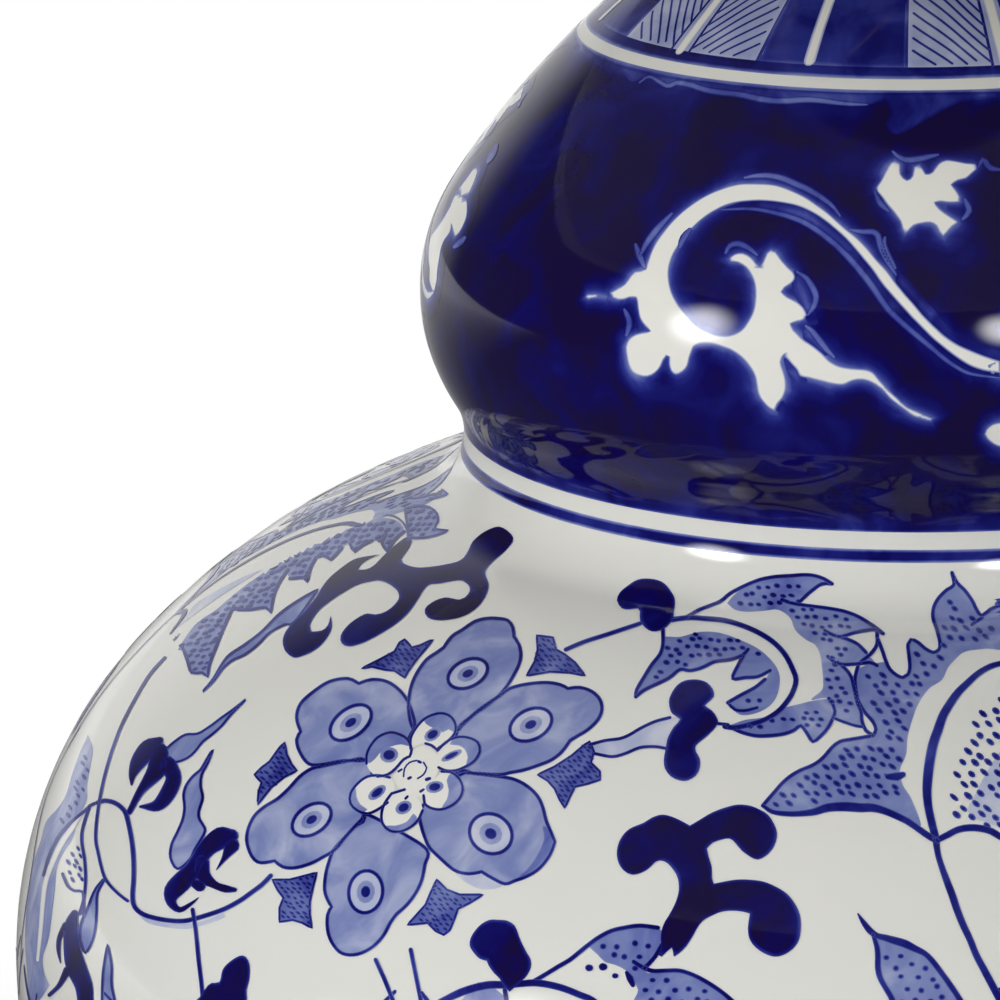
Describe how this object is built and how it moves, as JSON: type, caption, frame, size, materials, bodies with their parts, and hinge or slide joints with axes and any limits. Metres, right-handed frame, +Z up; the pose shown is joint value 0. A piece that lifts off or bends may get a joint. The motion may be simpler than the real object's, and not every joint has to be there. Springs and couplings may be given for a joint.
{
  "type": "table lamp",
  "caption": "Table lamp with a blue and white double gourd porcelain body on a turned wooden base, a rotary socket, a lift-off harp, a tapered drum shade and a finial.",
  "frame": {"origin": "middle of the felt under the base, on the surface that the lamp stands on", "axes": "+Z up the lamp's axis; the harp stands in the XZ plane; the switch knob faces -Y, the front, and the cord leaves the base towards +Y"},
  "size_m": [0.4014, 0.4014, 0.6299],
  "materials": {
    "felt": "thick pressed wool felt, fuzzy",
    "dark_wood": "turned hardwood, dark walnut stain under satin lacquer",
    "bushing_plastic": "moulded brown nylon, semi-gloss",
    "zinc_steel": "zinc-plated steel, dull",
    "porcelain": "white glaze over painted cobalt blue, high gloss",
    "gasket_rubber": "soft black rubber",
    "lamp_brass": "polished and lacquered brass",
    "terminal_brass": "plain brass screw",
    "nickel_steel": "nickel-plated screw",
    "phenolic": "moulded black phenolic",
    "screw_shell_metal": "thin drawn and rolled aluminium",
    "kraft_card": "waxed kraft card tube",
    "knob_plastic": "moulded black knob, semi-gloss",
    "white_wire": "steel wire with white powder coat",
    "liner_plastic": "white opal styrene sheet",
    "shade_cloth": "off-white linen weave laminated on the liner",
    "trim_tape": "folded self tape, glued over the rings"
  },
  "bodies": {
    "lamp_body": {"felt_pad": "felt", "wooden_base": "dark_wood", "cord_bushing": "bushing_plastic", "bottom_nut": "zinc_steel", "lock_washer": "zinc_steel", "porcelain_body": "porcelain", "foot_gasket": "gasket_rubber", "mouth_gasket": "gasket_rubber", "vase_cap": "lamp_brass", "neck_spacer": "lamp_brass", "check_ring": "lamp_brass", "threaded_rod": "zinc_steel", "harp_saddle": "lamp_brass", "socket_cap": "lamp_brass", "cap_set_screw": "terminal_brass", "socket_interior": "phenolic", "terminal_screw_right": "terminal_brass", "terminal_screw_left": "nickel_steel", "screw_shell": "screw_shell_metal", "centre_contact": "terminal_brass", "insulating_sleeve": "kraft_card", "socket_shell": "lamp_brass"},
    "switch": {"switch_shaft": "lamp_brass", "switch_knob": "knob_plastic"},
    "harp": {"harp": "lamp_brass", "harp_stud": "lamp_brass"},
    "ferrule_right": {"harp_ferrule_right": "lamp_brass"},
    "ferrule_left": {"harp_ferrule_left": "lamp_brass"},
    "shade": {"shade_spider": "lamp_brass", "shade_bottom_ring": "white_wire", "shade_liner": "liner_plastic", "shade_fabric": "shade_cloth", "shade_top_trim": "trim_tape", "shade_bottom_trim": "trim_tape"},
    "finial": {"finial_base": "lamp_brass", "finial_ball": "lamp_brass"}
  },
  "joints": [
    {"name": "switch_turn", "type": "hinge", "parent": "lamp_body", "child": "switch", "pos_m": [0, -0.02, 0.40603], "axis": [0, -1, 0], "continuous": true},
    {"name": "harp_lift", "type": "slide", "parent": "lamp_body", "child": "harp", "axis": [0, 0, 1], "range_m": [0, 0.012]},
    {"name": "ferrule_right_lift", "type": "slide", "parent": "harp", "child": "ferrule_right", "axis": [0, 0, 1], "range_m": [0, 0.014]},
    {"name": "ferrule_left_lift", "type": "slide", "parent": "harp", "child": "ferrule_left", "axis": [0, 0, 1], "range_m": [0, 0.014]},
    {"name": "shade_turn", "type": "hinge", "parent": "harp", "child": "shade", "pos_m": [0, 0, 0.5847], "axis": [0, 0, 1], "continuous": true},
    {"name": "finial_turn", "type": "hinge", "parent": "harp", "child": "finial", "pos_m": [0, 0, 0.595], "axis": [0, 0, 1], "continuous": true}
  ]
}
